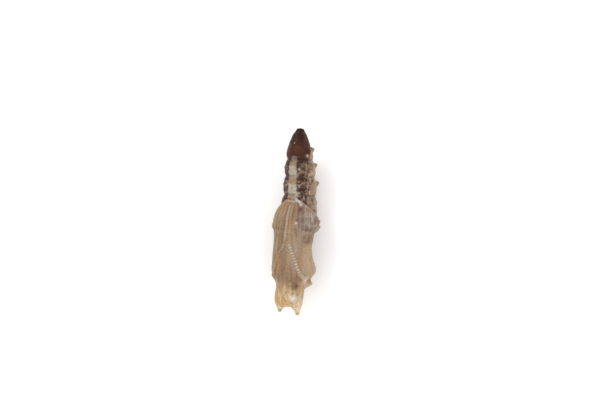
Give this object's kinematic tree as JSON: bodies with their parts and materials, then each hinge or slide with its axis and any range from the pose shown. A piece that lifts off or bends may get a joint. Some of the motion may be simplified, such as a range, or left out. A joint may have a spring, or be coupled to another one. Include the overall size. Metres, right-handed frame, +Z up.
{
  "type": "butterfly chrysalis",
  "caption": "Spindle-shaped butterfly chrysalis with a horned head, wing and antenna cases, a keeled back and a ringed, warty abdomen, lying on its back.",
  "frame": {"origin": "on the surface it lies on, under the middle of its bounding box", "axes": "+X along the body from the tail to the horned head, +Z up, away from the surface, with the belly uppermost"},
  "size_m": [0.0256, 0.0066, 0.0065],
  "materials": {
    "shell": "satin, slightly translucent chitin, tan and honey at the head end and dark brown at the tail"
  },
  "bodies": {
    "root": {"chrysalis": "shell"}
  },
  "joints": []
}
